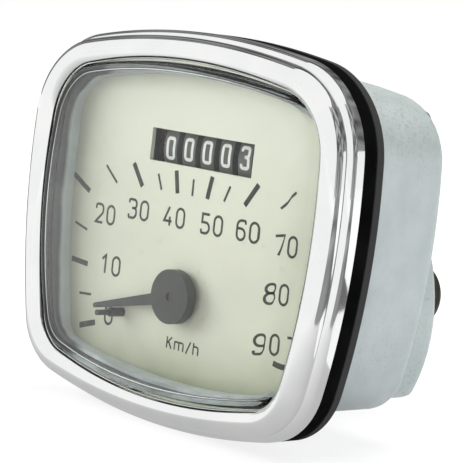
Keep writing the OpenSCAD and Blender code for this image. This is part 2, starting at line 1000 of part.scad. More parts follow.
module drive_spindle() {
    color(steel)
        seat()
            difference() {
                rod_y(0, 0, magnet_y - 0.4, neck_root + neck_len - 1, spindle_r);
                rod_y(0, 0, magnet_y - 1, magnet_y + 2, staff_r + run);
                box(-1.35, 1.35, neck_root + neck_len - 13, neck_root + neck_len, -1.35, 1.35);
            }
}

module magnet() {
    color(grey)
        seat()
            difference() {
                rod_y(0, 0, magnet_y, field_y, magnet_r);
                rod_y(0, 0, magnet_y - 1, field_y + 1, spindle_r);
            }
}

module field_cup() {
    color(steel)
        seat()
            difference() {
                rod_y(0, 0, cup_y + 0.6, field_y + 1.1, field_r);
                rod_y(0, 0, cup_y - 1, field_y, field_r - field_t);
                rod_y(0, 0, field_y - 1, field_y + 3, spindle_r);
            }
}

module drive_worm() {
    color(steel)
        seat()
            translate([0, cross_y, 0])
                rotate([-90, 0, 0])
                    worm(worm_a_r, gear_m, 8, spindle_r, -90);
}

module cross_shaft() {
    color(steel)
        seat()
            rod_x(cross_y, cross_z, lug_left - 0.6, lug_end + lug_t + 0.6, shaft_r);
}

module cross_wheel() {
    color(brass)
        seat()
            translate([0, cross_y, cross_z])
                rotate([0, 90, 0])
                    worm_wheel(wheel_a_n, gear_m, 1.6, shaft_r);
}

module cross_worm() {
    color(steel)
        seat()
            translate([upright_x, cross_y, cross_z])
                rotate([0, 90, 0])
                    worm(worm_b_r, gear_m, 8, shaft_r, -90);
}

module upright_shaft() {
    color(steel)
        seat()
            rod_z(upright_x, upright_y, shelf_z - 0.4, arm_high + 0.6, shaft_r);
}

module upright_wheel() {
    color(brass)
        seat()
            translate([upright_x, upright_y, cross_z])
                rotate([0, 0, 90])
                    worm_wheel(wheel_b_n, gear_m, 1.6, shaft_r);
}

module upright_worm() {
    color(steel)
        seat()
            translate([upright_x, upright_y, drum_z])
                worm(worm_c_r, fine_m, 5, shaft_r, -90);
}

housing();
bezel();
panel_gasket();
glass();
glass_seal();
spacer_ring();
dial_plate();
needle_stop();
drive_neck();
neck_nut();
neck_bush();
stud_left();
stud_right();
lamp_holder();
lamp_bulb();
lamp_contact();
movement_frame();
front_bridge();
bridge_screw_left();
bridge_screw_right();
frame_screw_upper();
frame_screw_lower();
frame_screw_right();
odometer_frame();
odometer_screw_left();
odometer_screw_right();
odometer_axle();
pinion_axle();
axle_spacer();
hairspring_stud();
hairspring();
needle();
hub_cap();
needle_staff();
drag_cup();
hairspring_collet();
drive_spindle();
magnet();
field_cup();
drive_worm();
cross_shaft();
cross_wheel();
cross_worm();
upright_shaft();
upright_wheel();
upright_worm();
drum_1();
drum_wheel();
drum_2();
drum_3();
drum_4();
drum_5();
pinion_1();
pinion_2();
pinion_3();
pinion_4();
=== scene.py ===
import math

import bmesh
import bpy
from mathutils import Matrix, Vector


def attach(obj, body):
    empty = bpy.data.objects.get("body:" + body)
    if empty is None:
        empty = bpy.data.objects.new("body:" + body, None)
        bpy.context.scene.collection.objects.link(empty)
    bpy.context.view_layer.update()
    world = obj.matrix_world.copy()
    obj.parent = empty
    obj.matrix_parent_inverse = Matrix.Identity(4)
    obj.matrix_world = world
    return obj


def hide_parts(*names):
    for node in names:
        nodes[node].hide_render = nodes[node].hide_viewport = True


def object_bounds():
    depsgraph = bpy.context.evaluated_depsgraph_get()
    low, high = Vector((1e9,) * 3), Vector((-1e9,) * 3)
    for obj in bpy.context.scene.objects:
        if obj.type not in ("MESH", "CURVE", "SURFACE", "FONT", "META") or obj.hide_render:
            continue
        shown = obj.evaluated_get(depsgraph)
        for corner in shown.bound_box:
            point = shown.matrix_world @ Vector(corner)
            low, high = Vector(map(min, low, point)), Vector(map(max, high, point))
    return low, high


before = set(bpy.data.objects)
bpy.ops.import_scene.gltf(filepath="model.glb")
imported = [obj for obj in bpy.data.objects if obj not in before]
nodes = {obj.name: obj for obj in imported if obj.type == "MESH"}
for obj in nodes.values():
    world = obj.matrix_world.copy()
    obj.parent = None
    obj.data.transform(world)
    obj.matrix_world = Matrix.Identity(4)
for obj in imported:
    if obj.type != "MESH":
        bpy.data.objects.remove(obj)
cad_low, cad_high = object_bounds()
scene = bpy.context.scene
scene.view_settings.view_transform = "Standard"

# Lengths are in millimetres from the needle's axis at the dial's face: x to the right, y into the case, z up
MM = 0.001
DIAL_Y = -49.4


def at(x, y, z):
    """A place in the frame, in metres."""
    return Vector((x, y + DIAL_Y, z)) * MM


def deep(y):
    """The y of a depth in the case, in metres."""
    return at(0, y, 0).y


# Materials. Most of what a noise texture gives lies between NOISE_LOW and NOISE_HIGH
NOISE_LOW = 0.3
NOISE_HIGH = 0.7
GLOSS_SCALE = 2.3
SPECK_SCALE = 0.45


class Graph:
    """A node tree that is built one node at a time."""

    def __init__(self, tree):
        self.tree = tree

    def put(self, socket, value):
        """Links a socket to another one, or sets its value."""
        if isinstance(value, bpy.types.NodeSocket):
            self.tree.links.new(value, socket)
        else:
            socket.default_value = value

    def add(self, kind, values=(), **settings):
        """A new node with its settings and the values of its inputs."""
        node = self.tree.nodes.new(kind)
        for key, value in settings.items():
            setattr(node, key, value)
        for key, value in dict(values).items():
            self.put(node.inputs[key], value)
        return node

    def span(self, value, low, high, new_low=0.0, new_high=1.0):
        """A value that runs from new_low to new_high while another runs from low to high."""
        values = {0: value, 1: low, 2: high, 3: new_low, 4: new_high}
        return self.add("ShaderNodeMapRange", values).outputs[0]

    def maths(self, kind, first, second=0.0):
        return self.add("ShaderNodeMath", {0: first, 1: second}, operation=kind).outputs[0]

    def choose(self, share, first, second):
        """The first shader where the share is 0, the second where it is 1."""
        return self.add("ShaderNodeMixShader", {0: share, 1: first, 2: second}).outputs[0]


class Finish(Graph):
    """One material and the nodes that give it its detail."""

    def __init__(self, name):
        self.material = bpy.data.materials.new(name)
        self.material.use_nodes = True
        super().__init__(self.material.node_tree)
        self.shader = self.tree.nodes["Principled BSDF"]
        self.place = self.add("ShaderNodeTexCoord").outputs["Object"]

    def axis(self, name):
        """The surface's place along X, Y or Z, in metres."""
        return self.add("ShaderNodeSeparateXYZ", {0: self.place}).outputs[name]

    def along(self, name, start, stop, new_low=0.0, new_high=1.0):
        """A value that runs from new_low to new_high between two places along one axis."""
        ends = [deep(place) if name == "Y" else place * MM for place in (start, stop)]
        return self.span(self.axis(name), *ends, new_low, new_high)

    def off(self, name, middle, half=1.0):
        """How far the surface lies from a middle along one axis, as a share of half."""
        away = self.maths("ABSOLUTE", self.maths("SUBTRACT", self.axis(name), middle * MM))
        return self.maths("MULTIPLY", away, 1 / (half * MM))

    def distance(self):
        """How far the surface lies from the origin, in metres."""
        return self.add("ShaderNodeVectorMath", {0: self.place}, operation="LENGTH").outputs["Value"]

    def stretched(self, scale):
        return self.add("ShaderNodeMapping", {"Vector": self.place, "Scale": scale}).outputs["Vector"]

    def noise(self, scale, detail=3.0, stretch=None):
        place = self.stretched(stretch) if stretch else self.place
        values = {"Vector": place, "Scale": scale, "Detail": detail}
        return self.add("ShaderNodeTexNoise", values).outputs[0]

    def cloudy(self, scale, detail=3.0, low=0.0, high=1.0, stretch=None):
        """Noise that fills the range from low to high."""
        return self.span(self.noise(scale, detail, stretch), NOISE_LOW, NOISE_HIGH, low, high)

    def mix(self, share, first, second):
        values = {0: share, 6: first, 7: second}
        return self.add("ShaderNodeMix", values, data_type="RGBA").outputs[2]

    def bump(self, height, depth, normal=None):
        """A normal from a height of so many millimetres, over another normal where one is given."""
        values = {"Height": height, "Distance": depth * MM, "Strength": 1.0}
        if normal is not None:
            values["Normal"] = normal
        return self.add("ShaderNodeBump", values).outputs["Normal"]

    def set(self, **values):
        """Puts values into the shader, each named after its input."""
        for key, value in values.items():
            self.put(self.shader.inputs[key.replace("_", " ")], value)

    def base_colour(self):
        """The colour that the shader has now."""
        return self.shader.inputs["Base Color"].links[0].from_socket

    def show(self, shader):
        """Makes a shader the material's surface."""
        self.put(self.tree.nodes["Material Output"].inputs["Surface"], shader)


def rgb(red, green, blue):
    return (red, green, blue, 1.0)


def grey(level):
    return rgb(level, level, level)


def surface(name, dark, light, rough, metal=0.0, patch=250.0, grain=2500.0, depth=0.01, stretch=None,
            specks=None):
    """Patches between two colours, uneven gloss, a fine grain and, where given, specks of a third colour."""
    look = Finish(name)
    colour = look.mix(look.cloudy(patch, 4.0), rgb(*dark), rgb(*light))
    if specks:
        share = look.span(look.noise(grain * SPECK_SCALE, 2.0), 0.66, 0.74, 0.0, 0.8)
        colour = look.mix(share, colour, rgb(*specks))
    look.set(Base_Color=colour, Metallic=metal)
    look.set(Roughness=look.cloudy(patch * GLOSS_SCALE, 3.0, *rough, stretch))
    look.set(Normal=look.bump(look.noise(grain, 3.0, stretch), depth))
    return look


def chrome_finish():
    look = Finish("chrome")
    colour = look.mix(look.cloudy(90.0, 4.0), rgb(0.84, 0.855, 0.85), rgb(0.91, 0.915, 0.905))
    pits = look.span(look.noise(1600.0, 2.0), 0.74, 0.80, 0.0, 0.3)
    look.set(Base_Color=look.mix(pits, colour, rgb(0.32, 0.31, 0.29)), Metallic=1.0)
    look.set(Roughness=look.cloudy(240.0, 3.0, 0.035, 0.10))
    waves = look.bump(look.noise(120.0, 1.0), 0.012)
    look.set(Normal=look.bump(look.noise(2600.0, 2.0), 0.0006, waves))
    return look.material


def glass_finish():
    """Clear glass that lets the lamps' light through."""
    look = Finish("glass")
    look.set(Base_Color=look.mix(look.noise(60.0), rgb(0.95, 0.965, 0.96), rgb(0.985, 0.99, 0.985)))
    look.set(IOR=1.45, Transmission_Weight=1.0, Specular_Tint=grey(0.45))
    look.set(Roughness=look.span(look.noise(400.0, 4.0), 0.45, 0.75, 0.0, 0.01))
    look.set(Normal=look.bump(look.noise(45.0, 1.0), 0.006))
    in_shadow = look.add("ShaderNodeLightPath").outputs["Is Shadow Ray"]
    clear = look.add("ShaderNodeBsdfTransparent", {"Color": rgb(0.95, 0.96, 0.955)})
    look.show(look.choose(in_shadow, look.shader.outputs[0], clear.outputs[0]))
    return look.material


def dial_finish():
    """Cream paint with faint stains, painted light towards the top and painted shade round the edge."""
    look = Finish("dial_paint")
    colour = look.mix(look.cloudy(70.0, 5.0), rgb(0.64, 0.65, 0.53), rgb(0.70, 0.71, 0.58))
    stain = look.span(look.noise(420.0), 0.64, 0.78, 0.0, 0.35)
    colour = look.mix(stain, colour, rgb(0.46, 0.45, 0.33))
    # Painted light: the dial turns paler towards the top, where more light falls on it.
    colour = look.mix(look.along("Z", 8.0, 36.0, 0.0, 0.8), colour, rgb(0.84, 0.85, 0.73))
    # Painted shade: the dial darkens to olive round its edge, where the bezel's rim shades it.
    wide = look.maths("POWER", look.off("X", 0.3, 34.2), 5.0)
    tall = look.maths("POWER", look.off("Z", 16.0, 31.0), 5.0)
    edge = look.maths("ADD", look.maths("ADD", wide, tall), look.cloudy(150.0, 3.0, -0.05, 0.05))
    colour = look.mix(look.span(edge, 0.10, 0.95, 0.0, 0.85), colour, rgb(0.21, 0.235, 0.14))
    look.set(Base_Color=colour, Roughness=look.cloudy(300.0, 3.0, 0.5, 0.65))
    look.set(Normal=look.bump(look.noise(3500.0, 2.0), 0.0004))
    return look.material


def hub_finish():
    """Dark plastic with turned rings."""
    look = surface("hub_plastic", (0.034, 0.036, 0.033), (0.054, 0.056, 0.052), (0.34, 0.5), patch=500.0)
    values = {"Vector": look.stretched((1, 0, 1)), "Scale": 900.0, "Distortion": 0.4}
    rings = look.add("ShaderNodeTexWave", values, wave_type="RINGS", rings_direction="SPHERICAL")
    look.set(Normal=look.bump(rings.outputs[1], 0.003))
    return look.material


def rubber_finish():
    """Black rubber with specks of dust, and painted sheen on the edge towards the panel."""
    look = Finish("gasket_rubber")
    colour = look.mix(look.span(look.noise(160.0, 5.0), 0.35, 0.7), grey(0.002), grey(0.005))
    specks = look.span(look.noise(700.0, 4.0), 0.62, 0.80, 0.0, 0.08)
    # Dust specks, and a grey band on the back edge that is painted sheen, where grazing light catches it.
    dust_and_painted_sheen = look.maths("MAXIMUM", look.along("Y", 1.4, 1.8, 0.0, 0.9), specks)
    look.set(Base_Color=look.mix(dust_and_painted_sheen, colour, rgb(0.055, 0.055, 0.053)))
    look.set(Roughness=look.cloudy(500.0, 3.0, 0.75, 0.90), Specular_IOR_Level=0.03)
    look.set(Normal=look.bump(look.noise(2200.0, 4.0), 0.012))
    return look.material


def ring_finish():
    """Light blue-grey paint with painted shade towards the glass, which reaches further towards the dial on
    the left.
    """
    look = surface("ring_paint", (0.47, 0.52, 0.52), (0.59, 0.64, 0.64), (0.5, 0.7), patch=200.0)
    # Painted shade: the ring is dark towards the glass, and on the left the dark reaches further towards the
    # dial.
    depth = look.maths("ADD", look.axis("Y"), look.along("X", -29.0, -20.0, -1.6 * MM, 0.0))
    uneven = look.maths("ADD", depth, look.cloudy(120.0, 3.0, -0.2 * MM, 0.2 * MM))
    outside_painted_shade = look.span(uneven, deep(-3.9), deep(-3.2))
    look.set(Base_Color=look.mix(outside_painted_shade, rgb(0.055, 0.060, 0.062), look.base_colour()))
    return look.material


def case_finish():
    """Cast zinc with painted light at the top and painted shade at the bottom, mottled near both, greenish
    patches at the back.
    """
    look = surface("case_zinc", (0.48, 0.53, 0.535), (0.56, 0.61, 0.61), (0.36, 0.50), metal=0.35,
                   patch=180.0, grain=2600.0, depth=0.006)
    patches = look.span(look.noise(60.0, 5.0), 0.40, 0.62, 0.10, 1.0)
    green = look.maths("MULTIPLY", look.along("Y", 17.0, 24.0, 0.0, 0.7), patches)
    colour = look.mix(green, look.base_colour(), rgb(0.45, 0.545, 0.515))
    # Painted light: the case is lighter towards the top, where light from above falls.
    colour = look.mix(look.along("Z", 24.0, 42.0, 0.0, 0.7), colour, rgb(0.74, 0.81, 0.765))
    # Painted shade: the case is darker towards the bottom.
    colour = look.mix(look.along("Z", 2.0, -18.0, 0.0, 0.6), colour, rgb(0.36, 0.40, 0.41))
    ends = look.span(look.off("Z", 12.0), 6.0, 22.0, 0.15, 0.45)
    worn = look.maths("MAXIMUM", ends, look.along("Y", 23.0, 24.2, 0.0, 0.6))
    cloud = look.maths("MULTIPLY", worn, look.span(look.noise(75.0), 0.42, 0.60))
    mottle = look.maths("MULTIPLY", cloud, look.span(look.noise(1900.0, 5.0), 0.50, 0.70))
    look.set(Base_Color=look.mix(mottle, colour, rgb(0.30, 0.34, 0.335)))
    return look.material


FINISHES = {
    "chrome": chrome_finish(),
    "glass": glass_finish(),
    "dial_paint": dial_finish(),
    "hub_plastic": hub_finish(),
    "gasket_rubber": rubber_finish(),
    "ring_paint": ring_finish(),
    "case_zinc": case_finish(),
}
PLAIN_SURFACES = {
    "needle_paint": dict(dark=(0.030, 0.033, 0.030), light=(0.05, 0.053, 0.05), rough=(0.38, 0.55),
                         patch=600.0, grain=5000.0, depth=0.003),
    "neck_bronze": dict(dark=(0.034, 0.031, 0.024), light=(0.080, 0.070, 0.052), rough=(0.3, 0.5),
                        metal=0.7, patch=300.0, grain=1800.0, depth=0.012, specks=(0.02, 0.018, 0.016)),
    "brass": dict(dark=(0.52, 0.36, 0.13), light=(0.68, 0.48, 0.19), rough=(0.2, 0.36), metal=1.0,
                  patch=260.0, grain=1500.0, depth=0.003, stretch=(1, 8, 1), specks=(0.28, 0.19, 0.08)),
    "steel": dict(dark=(0.42, 0.42, 0.41), light=(0.58, 0.58, 0.57), rough=(0.2, 0.38), metal=1.0,
                  patch=320.0, grain=1600.0, depth=0.003, stretch=(8, 1, 1), specks=(0.2, 0.17, 0.14)),
    "drum_plastic": dict(dark=(0.075, 0.079, 0.070), light=(0.115, 0.12, 0.108), rough=(0.42, 0.6),
                         patch=350.0, depth=0.004),
    "cup_aluminium": dict(dark=(0.66, 0.67, 0.67), light=(0.8, 0.8, 0.8), rough=(0.25, 0.4), metal=1.0,
                          patch=300.0, grain=1800.0, depth=0.003, stretch=(1, 10, 1)),
    "magnet_iron": dict(dark=(0.07, 0.068, 0.066), light=(0.14, 0.135, 0.13), rough=(0.4, 0.6), metal=0.9,
                        patch=400.0, grain=2200.0, depth=0.02, specks=(0.05, 0.04, 0.035)),
    "lamp_plastic": dict(dark=(0.012, 0.012, 0.012), light=(0.026, 0.025, 0.024), rough=(0.3, 0.48),
                         patch=350.0, depth=0.006),
    "dial_print": dict(dark=(0.020, 0.021, 0.016), light=(0.042, 0.043, 0.034), rough=(0.45, 0.65),
                       patch=900.0, depth=0.003, specks=(0.12, 0.12, 0.10)),
    "digit_white": dict(dark=(0.72, 0.72, 0.69), light=(0.84, 0.84, 0.81), rough=(0.4, 0.6),
                        patch=900.0, depth=0.003, specks=(0.55, 0.55, 0.5)),
}
for name, values in PLAIN_SURFACES.items():
    FINISHES[name] = surface(name, **values).material


# Mesh building
def piece(name, verts, faces, finish, body, slot, stands_for=(), sharp=32.0):
    """A mesh of given points and faces, with its creases marked, riding on one body."""
    mesh = bpy.data.meshes.new(name)
    mesh.from_pydata(verts, [], faces)
    work = bmesh.new()
    work.from_mesh(mesh)
    bmesh.ops.recalc_face_normals(work, faces=work.faces)
    for edge in work.edges:
        edge.smooth = len(edge.link_faces) == 2 and edge.calc_face_angle() < math.radians(sharp)
    for face in work.faces:
        face.smooth = True
    work.to_mesh(mesh)
    work.free()
    mesh.materials.append(FINISHES[finish])
    obj = bpy.data.objects.new(name, mesh)
    scene.collection.objects.link(obj)
    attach(obj, body)
    if stands_for:
        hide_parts(*stands_for)


def skin(loops, closed=False):
    """Points and faces over loops of equal length. The last loop joins the first, or both are filled."""
    count = len(loops[0])
    verts = [point for loop in loops for point in loop]
    faces = []
    for k in range(len(loops) if closed else len(loops) - 1):
        a = k * count
        b = (k + 1) % len(loops) * count
        for i in range(count):
            j = (i + 1) % count
            faces.append((a + i, a + j, b + j, b + i))
    if not closed:
        faces.append(tuple(range(count)))
        faces.append(tuple(range((len(loops) - 1) * count, len(loops) * count)))
    return verts, faces


def circle(x, z, radius, y, count):
    """A loop round an axis along y. The radius is a number or a function of the turn, from 0 to 1."""
    loop = []
    for i in range(count):
        turn = i / count
        r = radius(turn) if callable(radius) else radius
        loop.append(at(x + r * math.cos(turn * math.tau), y, z + r * math.sin(turn * math.tau)))
    return loop


def turned(profile, count, x=0.0, z=0.0):
    """Loops round an axis along y from a profile of radii and depths."""
    return [circle(x, z, radius, y, count) for radius, y in profile]


def arc(inset, y, radius, start, stop, steps):
    """Points of a profile of insets and depths, on an arc between two angles in degrees."""
    points = []
    for i in range(steps + 1):
        t = math.radians(start + (stop - start) * i / steps)
        points.append((inset + radius * math.cos(t), y - radius * math.sin(t)))
    return points


# The face's outline: eight tangent arcs, which reach FACE_HALF_W to each side at the height of SIDE_Z
FACE_HALF_W = 39.58
FACE_TOP = 45.45
FACE_BOTTOM = -22.34
SIDE_Z = 9.5
SIDE_LEAN = math.radians(4.3)
TOP_R = 147.0
BOTTOM_R = 127.0
SIDE_R = 123.4
TOP_CORNER_R = 16.4
LOW_CORNER_R = 12.8


def right_meet(p, rp, q, rq):
    """The point further to the right where two circles meet."""
    dx, dz = q[0] - p[0], q[1] - p[1]
    d = math.hypot(dx, dz)
    a = (d * d + rp * rp - rq * rq) / (2 * d)
    h = math.sqrt(rp * rp - a * a)
    mid = (p[0] + a * dx / d, p[1] + a * dz / d)
    return max((mid[0] + s * h * dz / d, mid[1] - s * h * dx / d) for s in (1, -1))


def bearing(p, q):
    return math.atan2(q[1] - p[1], q[0] - p[0])


def outline_arcs():
    """The arcs from the bottom round by the right: middle, radius, first and last turn, steps."""
    top = (0.0, FACE_TOP - TOP_R)
    low = (0.0, FACE_BOTTOM + BOTTOM_R)
    side = (FACE_HALF_W - SIDE_R * math.cos(SIDE_LEAN), SIDE_Z + SIDE_R * math.sin(SIDE_LEAN))
    top_corner = right_meet(top, TOP_R - TOP_CORNER_R, side, SIDE_R - TOP_CORNER_R)
    low_corner = right_meet(low, BOTTOM_R - LOW_CORNER_R, side, SIDE_R - LOW_CORNER_R)
    low_turn, side_start = bearing(low, low_corner), bearing(side, low_corner)
    side_stop, top_turn = bearing(side, top_corner), bearing(top, top_corner)
    right = [
        (low_corner, LOW_CORNER_R, low_turn, side_start, 30),
        (side, SIDE_R, side_start, side_stop, 30),
        (top_corner, TOP_CORNER_R, side_stop, top_turn, 34),
    ]
    left = [((-x, z), r, math.pi - stop, math.pi - start, steps)
            for (x, z), r, start, stop, steps in reversed(right)]
    bottom_arc = (low, BOTTOM_R, -math.pi - low_turn, low_turn, 44)
    top_arc = (top, TOP_R, top_turn, math.pi - top_turn, 50)
    return [bottom_arc, *right, top_arc, *left]


ARCS = outline_arcs()


def outline(inset):
    """The points of the outline, drawn in by an inset."""
    points = []
    for (x, z), r, start, stop, steps in ARCS:
        for i in range(steps):
            t = start + (stop - start) * i / steps
            points.append((x + (r - inset) * math.cos(t), z + (r - inset) * math.sin(t)))
    return points


def hoop(profile):
    """Loops of a ring round the face from a profile of insets and depths."""
    return [[at(x, y, z) for x, z in outline(inset)] for inset, y in profile]


# The chrome bezel: a bead, a smaller roll behind it, and a flange turned in at the back
GLASS_SEAT = -4.4
BEZEL_BACK = -1.4
SHEET = 0.8
FLANGE_T = 0.4
FLANGE_INSET = 3.2
BEAD = (3.35, -4.9)
BEAD_R = 2.3
ROLL = (1.5, -2.9)
ROLL_R = 1.5
ROLL_START = 107.46
EDGE_IN = 0.1
EDGE_LIFT = 0.02

profile = [(BEAD[0] + BEAD_R, GLASS_SEAT)]
profile += arc(*BEAD, BEAD_R, 0.0, 180.0, 28)
profile += arc(*ROLL, ROLL_R, ROLL_START, 180.0, 10)
profile += [(0.0, BEZEL_BACK - EDGE_LIFT), (EDGE_IN, BEZEL_BACK), (FLANGE_INSET, BEZEL_BACK)]
profile += [(FLANGE_INSET, BEZEL_BACK - FLANGE_T), (SHEET, BEZEL_BACK - FLANGE_T)]
profile += arc(*ROLL, ROLL_R - SHEET, 180.0, 90.0, 5)
profile += [(BEAD[0] - (BEAD_R - SHEET), ROLL[1] - (ROLL_R - SHEET))]
profile += arc(*BEAD, BEAD_R - SHEET, 180.0, 0.0, 12)
profile += [(BEAD[0] + (BEAD_R - SHEET), GLASS_SEAT)]
piece("bezel_shell", *skin(hoop(profile), True), "chrome", "case", "chrome", ["bezel"])

# The rubber gasket behind it, with rounded edges
GASKET_OUTER = 0.03
GASKET_INNER = 4.35
GASKET_BACK = 4.38
GASKET_LIP = 0.09
GASKET_CHAMFER = 0.1
BACK_CHAMFER = (0.15, 0.13)
GASKET_ROUND = 0.52
SIDE_ROUND = (0.55, 2.95)
BACK_ROUND = (1.45, 3.85)

profile = [(GASKET_OUTER + GASKET_LIP, BEZEL_BACK), (GASKET_OUTER, BEZEL_BACK + GASKET_CHAMFER)]
profile += arc(*SIDE_ROUND, GASKET_ROUND, 180.0, 225.0, 5)
profile += arc(*BACK_ROUND, GASKET_ROUND, 225.0, 270.0, 5)
profile += [(GASKET_INNER - BACK_CHAMFER[0], GASKET_BACK), (GASKET_INNER, GASKET_BACK - BACK_CHAMFER[1])]
profile += [(GASKET_INNER, BEZEL_BACK + GASKET_CHAMFER), (GASKET_INNER - GASKET_CHAMFER, BEZEL_BACK)]
piece("gasket_ring", *skin(hoop(profile), True), "gasket_rubber", "case", "gasket_rubber", ["panel_gasket"],
      sharp=50.0)

# The domed glass. Its front has a faint crease round the face, and bends towards it from both sides
GLASS_FRONT = -9.76
GLASS_T = 1.3
GLASS_FLANGE_BACK = -3.4
GLASS_FLANGE_INSET = 2.6
GLASS_CHAMFER = 0.1
FRONT_INSET = 5.95
FRONT_ROUND = 0.9
HOLLOW_INSET = 6.9
HOLLOW_ROUND = 0.5
DOME_R = 185.14
DOME_MID_Z = 11.55
CREASE = 10.2
CREASE_REACH = 5.8
INNER_SLOPE = 0.07
OUTER_SLOPE = 0.01
INNER_SHARES = (0.02, 0.08, 0.16, 0.25, 0.34, 0.43, 0.52, 0.61, 0.69, 0.76, 0.81, 0.855, 0.895, 0.93, 0.96,
                0.985, 1.0)
OUTER_INSETS = (10.0, 9.5, 8.8, 8.1)
ROUND_STEPS = 7


def dome(x, z, y):
    """The y of a dome whose middle lies at y."""
    return y + (x * x + (z - DOME_MID_Z) ** 2) / (2 * DOME_R)


def fold(inset):
    """How far the creased front lies behind the plain dome."""
    near = max(0.0, CREASE_REACH - max(0.0, inset - CREASE))
    return INNER_SLOPE * near * near / (2 * CREASE_REACH) - OUTER_SLOPE * max(0.0, CREASE - inset)


def no_fold(inset):
    return 0.0


def dome_loops(y, radius, edge, lift):
    """Loops from near the middle of a dome out to its rounded edge. lift gives its fold at each inset."""
    loops = []
    for share in INNER_SHARES:
        loop = []
        for x, z in outline(CREASE):
            px, pz = x * share, DOME_MID_Z + (z - DOME_MID_Z) * share
            inset = CREASE + math.hypot(x - px, z - pz)
            loop.append(at(px, dome(px, pz, y) + lift(inset), pz))
        loops.append(loop)
    for inset in (*OUTER_INSETS, edge + radius):
        loops.append([at(x, dome(x, z, y) + lift(inset), z) for x, z in outline(inset)])
    rim = [dome(x, z, y) + lift(edge + radius) for x, z in outline(edge + radius)]
    for i in range(1, ROUND_STEPS + 1):
        t = math.radians(90.0 * i / ROUND_STEPS)
        ring = outline(edge + radius * (1 - math.sin(t)))
        loops.append([at(x, start + radius * (1 - math.cos(t)), z) for (x, z), start in zip(ring, rim)])
    return loops


loops = dome_loops(GLASS_FRONT, FRONT_ROUND, FRONT_INSET, fold)
loops += hoop([
    (FRONT_INSET, GLASS_SEAT),
    (GLASS_FLANGE_INSET + GLASS_CHAMFER, GLASS_SEAT),
    (GLASS_FLANGE_INSET, GLASS_SEAT + GLASS_CHAMFER),
    (GLASS_FLANGE_INSET, GLASS_FLANGE_BACK),
    (HOLLOW_INSET, GLASS_FLANGE_BACK),
])
loops += dome_loops(GLASS_FRONT + GLASS_T, HOLLOW_ROUND, HOLLOW_INSET, no_fold)[::-1]
piece("glass_dome", *skin(loops), "glass", "case", "glass", ["glass"], sharp=40.0)

# Screw threads. The crest's end and the root's start are shares of the pitch, from the crest's middle
CREST_END = 0.7 / 5.2
ROOT_START = 1.9 / 5.2
FADE_PITCHES = 1.2
LOOPS_PER_PITCH = 8


def thread(radius, depth, pitch, y, start, stop):
    """The radius of a thread at one y, as a function of the turn. The thread fades out at both ends."""
    fade = FADE_PITCHES * pitch
    ease = max(0.0, min(1.0, (y - start) / fade, (stop - y) / fade))

    def at_turn(turn):
        from_crest = abs((y / pitch - turn) % 1.0 - 0.5)
        groove = (from_crest - CREST_END) / (ROOT_START - CREST_END)
        return radius - depth * ease * min(1.0, max(0.0, groove))
    return at_turn


def threaded(radius, depth, pitch, start, stop, count, x=0.0, z=0.0):
    """Loops of a thread along y."""
    steps = round((stop - start) / pitch * LOOPS_PER_PITCH)
    profile = []
    for i in range(steps + 1):
        y = start + (stop - start) * i / steps
        profile.append((thread(radius, depth, pitch, y, start, stop), y))
    return turned(profile, count, x, z)


# The threaded drive neck, with the bore that the bush stands in
NECK_BORE_R = 3.2
NECK_TIP_R = 5.1
NECK_THREAD_R = 6.0
NECK_SHOULDER_R = 7.0
NECK_FLANGE_R = 9.0
NECK_FRONT = 31.9
NECK_FLANGE_BACK = 32.8
NECK_SHOULDER_BACK = 37.9
NECK_END = 61.9
NECK_CHAMFER = 0.2
NECK_PITCH = 1.0
NECK_THREAD_DEPTH = 0.6
NECK_THREAD_START = NECK_SHOULDER_BACK + 0.5
NECK_THREAD_STOP = NECK_END - 1.0
TIP_EDGE = (0.1, 0.05)
BORE_CHAMFER = 0.3
NECK_SIDES = 72

loops = turned([
    (NECK_BORE_R, NECK_FRONT),
    (NECK_FLANGE_R, NECK_FRONT),
    (NECK_FLANGE_R, NECK_FLANGE_BACK),
    (NECK_SHOULDER_R, NECK_FLANGE_BACK),
    (NECK_SHOULDER_R, NECK_SHOULDER_BACK - NECK_CHAMFER),
    (NECK_SHOULDER_R - NECK_CHAMFER, NECK_SHOULDER_BACK),
    (NECK_THREAD_R, NECK_SHOULDER_BACK),
], NECK_SIDES)
loops += threaded(NECK_THREAD_R, NECK_THREAD_DEPTH, NECK_PITCH, NECK_THREAD_START, NECK_THREAD_STOP,
                  NECK_SIDES)
loops += turned([
    (NECK_TIP_R + TIP_EDGE[0], NECK_END - TIP_EDGE[1]),
    (NECK_TIP_R, NECK_END),
    (NECK_BORE_R + BORE_CHAMFER, NECK_END),
    (NECK_BORE_R, NECK_END - BORE_CHAMFER),
], NECK_SIDES)
piece("neck_threaded", *skin(loops, True), "neck_bronze", "case", "neck_bronze", ["drive_neck"])

# The nut that holds the neck. Turning cuts its corners to a smaller radius near both faces
NUT_HALF_FLATS = 10.0
NUT_FRONT = 34.4
NUT_BACK = 37.6
NUT_MOUTH = (0.5, 0.4)
NUT_SIDES = 96
CORNER_CUTS = [(9.7, 0.0), (10.2, 0.15), (10.9, 0.4), (12.0, 0.75)]


def hexagon(limit):
    """The radius of a hexagon whose corners are cut to a limit, as a function of the turn."""
    def at_turn(turn):
        from_flat = math.radians((turn * 360.0) % 60.0 - 30.0)
        return min(NUT_HALF_FLATS / math.cos(from_flat), limit)
    return at_turn


profile = [(NECK_SHOULDER_R, NUT_FRONT)]
profile += [(hexagon(limit), NUT_FRONT + depth) for limit, depth in CORNER_CUTS]
profile += [(hexagon(limit), NUT_BACK - depth) for limit, depth in reversed(CORNER_CUTS)]
profile += [(NECK_SHOULDER_R + NUT_MOUTH[0], NUT_BACK), (NECK_SHOULDER_R, NUT_BACK - NUT_MOUTH[1])]
loops = turned(profile, NUT_SIDES)
piece("neck_nut_turned", *skin(loops, True), "neck_bronze", "case", "neck_bronze", ["neck_nut"], sharp=22.0)

